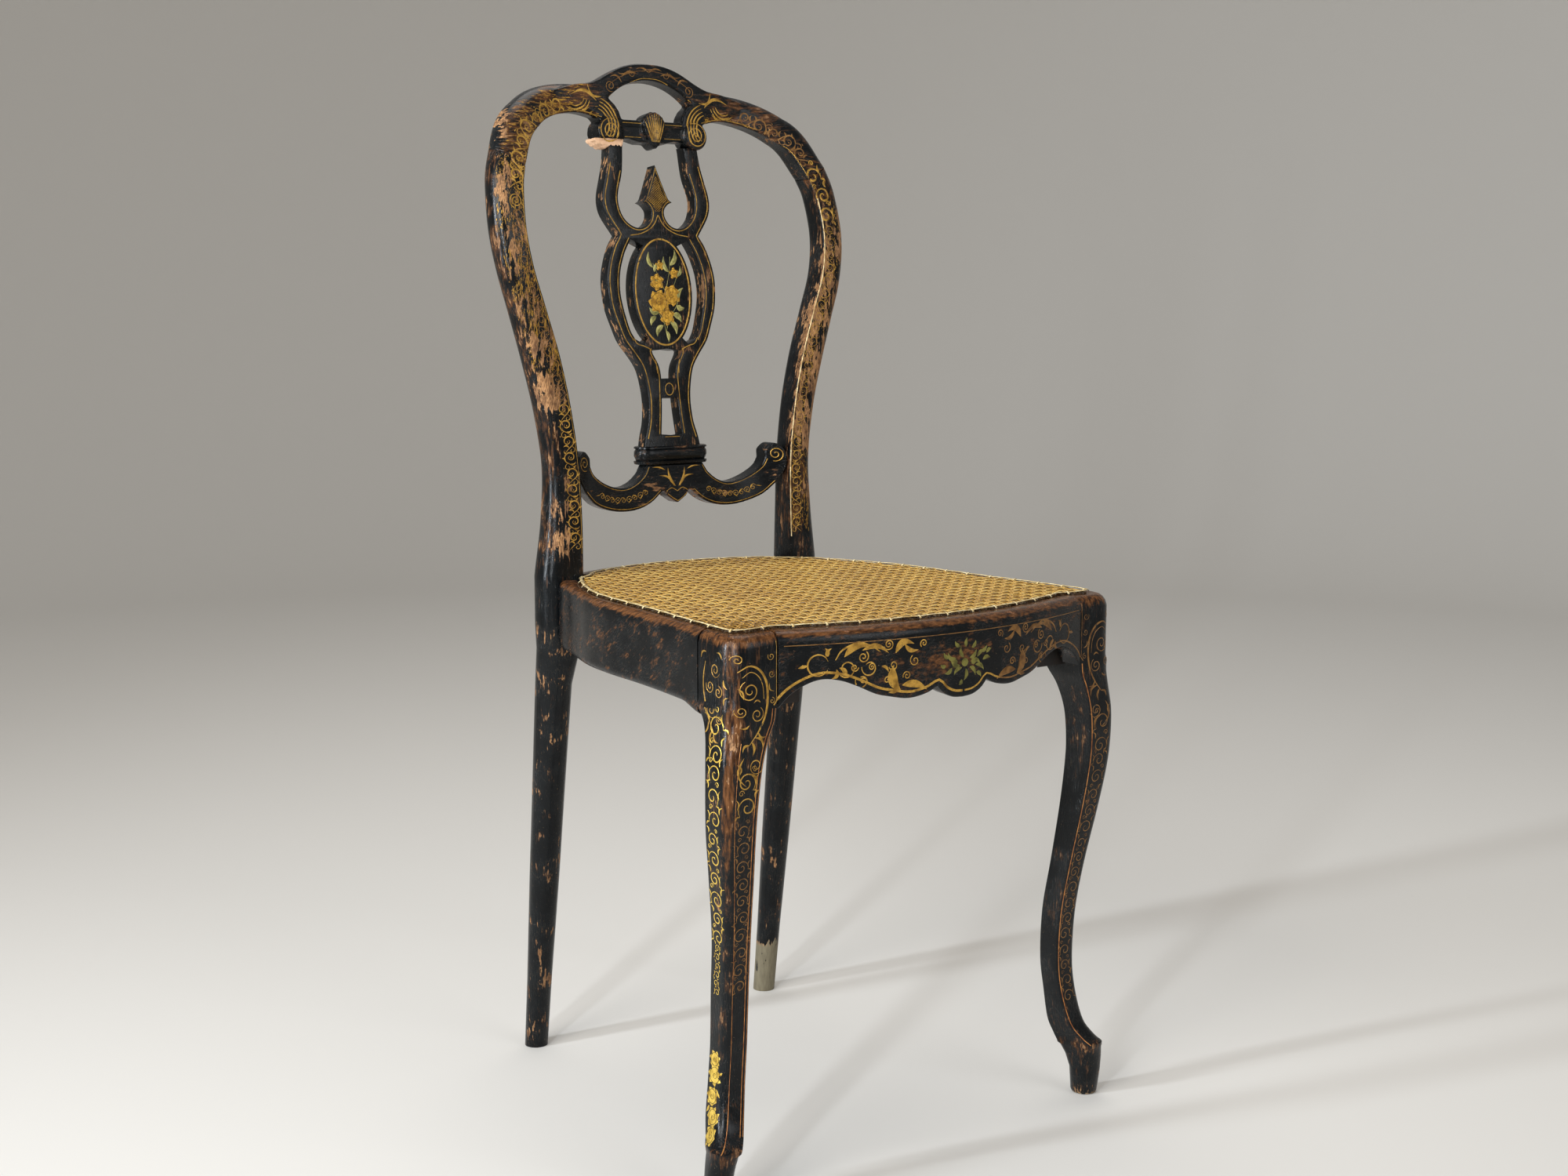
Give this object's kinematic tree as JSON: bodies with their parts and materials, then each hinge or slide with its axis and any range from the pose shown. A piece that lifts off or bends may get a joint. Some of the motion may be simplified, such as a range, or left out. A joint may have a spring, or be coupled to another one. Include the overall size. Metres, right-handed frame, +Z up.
{
  "type": "balloon back cane chair",
  "caption": "Free-standing side chair with a balloon back, pierced splat, cabriole front legs and a woven cane seat; worn black lacquer with flaking gilding.",
  "frame": {"origin": "centre of the chair's box at floor level", "axes": "+Z up, front of the seat towards -Y, +X to the right of someone facing the chair's front"},
  "size_m": [0.416, 0.4572, 0.8945],
  "materials": {
    "japanned_wood": "worn black lacquer with gilding, crazed and flaking",
    "cane": "split cane, satin, aged golden",
    "bare_wood": "bare, dry"
  },
  "bodies": {
    "root": {"rear_leg_left": "japanned_wood", "rear_leg_right": "japanned_wood", "crest_rail": "japanned_wood", "back_splat": "japanned_wood", "splat_shoe": "japanned_wood", "cross_rail": "japanned_wood", "seat_rail_front": "japanned_wood", "seat_rail_back": "japanned_wood", "seat_rail_left": "japanned_wood", "seat_rail_right": "japanned_wood", "front_leg_left": "japanned_wood", "front_leg_right": "japanned_wood", "cane_panel": "cane", "cane_binding": "cane", "cane_pegs": "bare_wood", "crest_dowels": "bare_wood", "cross_rail_dowels": "bare_wood", "front_rail_dowels": "bare_wood", "side_rail_dowels": "bare_wood", "back_rail_dowels": "bare_wood", "corner_blocks_front": "bare_wood", "corner_blocks_back": "bare_wood"}
  },
  "joints": []
}
